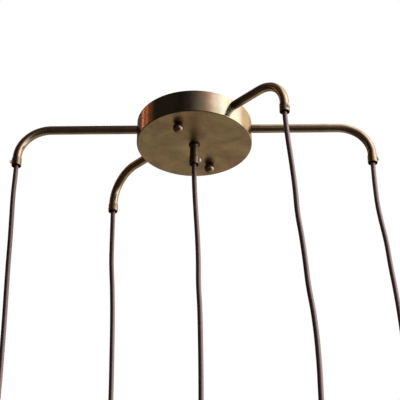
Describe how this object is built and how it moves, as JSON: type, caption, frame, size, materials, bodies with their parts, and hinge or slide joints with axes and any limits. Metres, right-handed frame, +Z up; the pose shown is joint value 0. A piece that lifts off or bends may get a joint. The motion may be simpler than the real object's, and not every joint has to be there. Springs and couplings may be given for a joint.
{
  "type": "cluster pendant lamp",
  "caption": "Ceiling lamp with a flat round canopy, bent tube arms and a short centre stem, each holding a cloth cord with a lampholder.",
  "frame": {"origin": "middle of the crossbar face that lies against the ceiling; the lamp hangs below it", "axes": "+Z up; X along the two long arms, with arm_right at +X; -Y faces the viewer"},
  "size_m": [0.4604, 0.2368, 0.492],
  "materials": {
    "aged_brass_canopy": "antique brass, spun and brushed, patinated",
    "aged_brass_tube": "antique brass tube, dark patina, satin",
    "aged_brass_turned": "turned antique brass, satin",
    "aged_brass_holder": "spun antique brass, satin",
    "zinc_steel": "bright zinc plated",
    "green_steel": "green passivated steel",
    "porcelain": "glazed white",
    "clear_nylon": "translucent moulded nylon",
    "cloth_cord": "dark brown braided cloth"
  },
  "bodies": {
    "root": {"crossbar": "zinc_steel", "junction_block": "porcelain", "block_screw": "zinc_steel", "ground_screw": "green_steel", "box_screw_far": "zinc_steel", "box_screw_near": "zinc_steel", "stud_far": "zinc_steel", "stud_near": "zinc_steel", "stud_nut_far": "zinc_steel", "stud_nut_near": "zinc_steel", "canopy_shell": "aged_brass_canopy", "arm_left": "aged_brass_tube", "arm_right": "aged_brass_tube", "arm_near": "aged_brass_tube", "arm_far": "aged_brass_tube", "stem_centre": "aged_brass_tube", "stem_washer": "aged_brass_tube", "lock_nut_left": "zinc_steel", "lock_nut_right": "zinc_steel", "lock_nut_near": "zinc_steel", "lock_nut_far": "zinc_steel", "lock_nut_centre": "zinc_steel", "lead_left": "cloth_cord", "lead_right": "cloth_cord", "lead_near": "cloth_cord", "lead_far": "cloth_cord", "lead_centre": "cloth_cord", "cord_grip_left": "aged_brass_turned", "cord_grip_right": "aged_brass_turned", "cord_grip_near": "aged_brass_turned", "cord_grip_far": "aged_brass_turned", "cord_grip_centre": "aged_brass_turned"},
    "ball_nut_far": {"ball_nut_far": "aged_brass_holder"},
    "ball_nut_near": {"ball_nut_near": "aged_brass_holder"},
    "set_screw_left": {"set_screw_left": "clear_nylon"},
    "set_screw_right": {"set_screw_right": "clear_nylon"},
    "set_screw_near": {"set_screw_near": "clear_nylon"},
    "set_screw_far": {"set_screw_far": "clear_nylon"},
    "set_screw_centre": {"set_screw_centre": "clear_nylon"},
    "pendant_left": {"cord_left": "cloth_cord", "holder_cap_left": "aged_brass_holder", "holder_shell_left": "aged_brass_holder", "holder_core_left": "porcelain"},
    "pendant_right": {"cord_right": "cloth_cord", "holder_cap_right": "aged_brass_holder", "holder_shell_right": "aged_brass_holder", "holder_core_right": "porcelain"},
    "pendant_near": {"cord_near": "cloth_cord", "holder_cap_near": "aged_brass_holder", "holder_shell_near": "aged_brass_holder", "holder_core_near": "porcelain"},
    "pendant_far": {"cord_far": "cloth_cord", "holder_cap_far": "aged_brass_holder", "holder_shell_far": "aged_brass_holder", "holder_core_far": "porcelain"},
    "pendant_centre": {"cord_centre": "cloth_cord", "holder_cap_centre": "aged_brass_holder", "holder_shell_centre": "aged_brass_holder", "holder_core_centre": "porcelain"}
  },
  "joints": [
    {"name": "swing_left", "type": "hinge", "parent": "root", "child": "pendant_left", "pos_m": [-0.204, 0, -0.056], "axis": [1, 0, 0], "range_deg": [-20, 20]},
    {"name": "swing_right", "type": "hinge", "parent": "root", "child": "pendant_right", "pos_m": [0.204, 0, -0.056], "axis": [1, 0, 0], "range_deg": [-20, 20]},
    {"name": "swing_near", "type": "hinge", "parent": "root", "child": "pendant_near", "pos_m": [0.10041, -0.10041, -0.056], "axis": [1, 0, 0], "range_deg": [-20, 20]},
    {"name": "swing_far", "type": "hinge", "parent": "root", "child": "pendant_far", "pos_m": [-0.10041, 0.10041, -0.056], "axis": [1, 0, 0], "range_deg": [-20, 20]},
    {"name": "swing_centre", "type": "hinge", "parent": "root", "child": "pendant_centre", "pos_m": [0, 0, -0.056], "axis": [1, 0, 0], "range_deg": [-20, 20]},
    {"name": "turn_ball_nut_far", "type": "hinge", "parent": "root", "child": "ball_nut_far", "pos_m": [0.01703, 0.04111, -0.0335], "axis": [0, 0, 1], "continuous": true},
    {"name": "turn_ball_nut_near", "type": "hinge", "parent": "root", "child": "ball_nut_near", "pos_m": [-0.01703, -0.04111, -0.0335], "axis": [0, 0, 1], "continuous": true},
    {"name": "turn_set_screw_left", "type": "hinge", "parent": "root", "child": "set_screw_left", "pos_m": [-0.2096, 0, -0.0498], "axis": [-1, 0, 0], "continuous": true},
    {"name": "turn_set_screw_right", "type": "hinge", "parent": "root", "child": "set_screw_right", "pos_m": [0.2096, 0, -0.0498], "axis": [1, 0, 0], "continuous": true},
    {"name": "turn_set_screw_near", "type": "hinge", "parent": "root", "child": "set_screw_near", "pos_m": [0.10437, -0.10437, -0.0498], "axis": [0.7071, -0.7071, 0], "continuous": true},
    {"name": "turn_set_screw_far", "type": "hinge", "parent": "root", "child": "set_screw_far", "pos_m": [-0.10437, 0.10437, -0.0498], "axis": [-0.7071, 0.7071, 0], "continuous": true},
    {"name": "turn_set_screw_centre", "type": "hinge", "parent": "root", "child": "set_screw_centre", "pos_m": [0.0056, 0, -0.0498], "axis": [1, 0, 0], "continuous": true}
  ]
}
